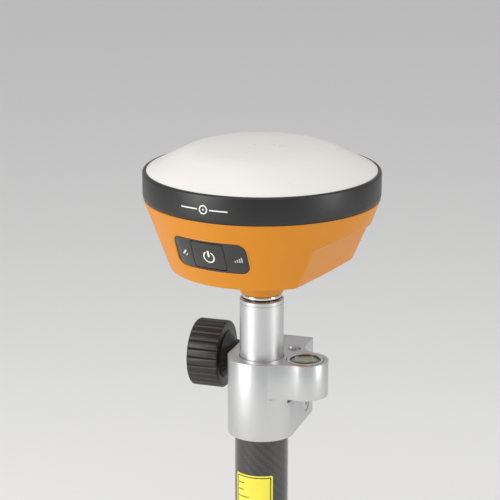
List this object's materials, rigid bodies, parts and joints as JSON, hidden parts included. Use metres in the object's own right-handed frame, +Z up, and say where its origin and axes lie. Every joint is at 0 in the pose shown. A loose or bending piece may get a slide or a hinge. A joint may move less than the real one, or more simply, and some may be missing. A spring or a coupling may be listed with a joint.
{
  "type": "gnss receiver",
  "caption": "Dish-shaped satellite positioning receiver with key panel and battery door, screwed on the clamped, sliding head of a carbon-fibre survey pole.",
  "frame": {"origin": "centre of the pole section's lower end, on the pole's axis", "axes": "+Z up along the pole, -Y towards the key panel, +Y towards the battery door, -X towards the data port"},
  "size_m": [0.1596, 0.1596, 0.3753],
  "materials": {
    "radome_white": "moulded, satin gloss",
    "band_rubber": "moulded, matte",
    "housing_orange": "moulded, fine texture",
    "panel_black": "printed film on moulded plastic",
    "black_nylon": "moulded, fine texture",
    "anodised_aluminium": "satin anodised",
    "steel": "turned and polished",
    "brass": "machined",
    "circuit_board": "solder mask",
    "tin_plate": "tinned sheet",
    "ceramic": "fired, matte",
    "carbon_fibre": "woven carbon under clear resin",
    "yellow_film": "printed vinyl",
    "clear_acrylic": "polished, tinted liquid behind",
    "silicone": "moulded"
  },
  "bodies": {
    "pole": {"carbon_tube": "carbon_fibre", "slide_bush": "black_nylon", "clamp_body": "anodised_aluminium", "knob_nut": "steel", "jaw_nut": "steel", "jaw_screw": "steel", "grub_screw": "black_nylon", "level_cup": "steel", "level_vial": "clear_acrylic", "pole_sticker": "yellow_film", "pole_ferrule": "anodised_aluminium"},
    "inner_pole": {"inner_tube": "anodised_aluminium", "pole_stud": "steel"},
    "neck_washer": {"neck_washer": "black_nylon"},
    "power_key": {"power_key": "panel_black"},
    "battery_door": {"battery_door": "black_nylon"},
    "door_stud": {"door_stud": "steel"},
    "port_cap": {"port_cap": "band_rubber"},
    "knob_washer": {"thrust_washer": "steel"},
    "clamp_knob": {"clamp_knob": "black_nylon", "knob_screw": "steel"},
    "receiver": {"radome": "radome_white", "radome_seal": "silicone", "bumper_band": "band_rubber", "lower_housing": "housing_orange", "panel_plate": "panel_black", "key_pad": "silicone", "light_guide_left": "clear_acrylic", "light_guide_right": "clear_acrylic", "panel_board": "circuit_board", "door_gasket": "silicone", "battery_tub": "black_nylon", "battery_pack": "black_nylon", "battery_contacts": "brass", "door_hinge_pin": "steel", "data_port": "tin_plate", "ground_plane": "anodised_aluminium", "antenna_lower_patch": "ceramic", "antenna_upper_patch": "ceramic", "antenna_amplifier_can": "tin_plate", "main_board": "circuit_board", "gnss_module_can": "tin_plate", "radio_module_can": "tin_plate", "wireless_module_can": "tin_plate", "buzzer": "black_nylon", "chassis_frame": "anodised_aluminium", "housing_screw_1": "steel", "housing_screw_2": "steel", "housing_screw_3": "steel", "housing_screw_4": "steel", "thread_insert": "brass", "neck_ring": "steel"}
  },
  "joints": [
    {"name": "pole_extend", "type": "slide", "parent": "pole", "child": "inner_pole", "axis": [0, 0, 1], "range_m": [-0.03, 0.07]},
    {"name": "receiver_lift", "type": "slide", "parent": "inner_pole", "child": "neck_washer", "axis": [0, 0, 1], "range_m": [0, 0.0163]},
    {"name": "receiver_turn", "type": "hinge", "parent": "neck_washer", "child": "receiver", "pos_m": [0, 0, 0.2669], "axis": [0, 0, 1], "range_deg": [0, 2520]},
    {"name": "key_press", "type": "slide", "parent": "receiver", "child": "power_key", "axis": [0, 0.9383, 0.3457], "range_m": [0, 0.0008], "stiffness_N_per_m": 900},
    {"name": "door_swing", "type": "hinge", "parent": "receiver", "child": "battery_door", "pos_m": [-0.0286, 0.06631, 0.31199], "axis": [0, 0.3457, 0.9383], "range_deg": [0, 110]},
    {"name": "stud_turn", "type": "hinge", "parent": "battery_door", "child": "door_stud", "pos_m": [0.0226, 0.0666, 0.31275], "axis": [0.3015, 0.8886, -0.3457], "range_deg": [0, 90]},
    {"name": "cap_swing", "type": "hinge", "parent": "receiver", "child": "port_cap", "pos_m": [-0.05694, 0, 0.30742], "axis": [0, 1, 0], "range_deg": [0, 120]},
    {"name": "knob_travel", "type": "slide", "parent": "pole", "child": "knob_washer", "axis": [-0.9781, -0.2079, 0], "range_m": [0, 0.00251]},
    {"name": "knob_turn", "type": "hinge", "parent": "knob_washer", "child": "clamp_knob", "pos_m": [-0.05273, 0.02202, 0.2112], "axis": [-0.9781, -0.2079, 0], "range_deg": [0, 720]}
  ],
  "couplings": [
    {"joint": "receiver_lift", "follows": "receiver_turn", "m_per_rad": 0.0003675},
    {"joint": "knob_travel", "follows": "knob_turn", "m_per_rad": 0.00019894}
  ]
}
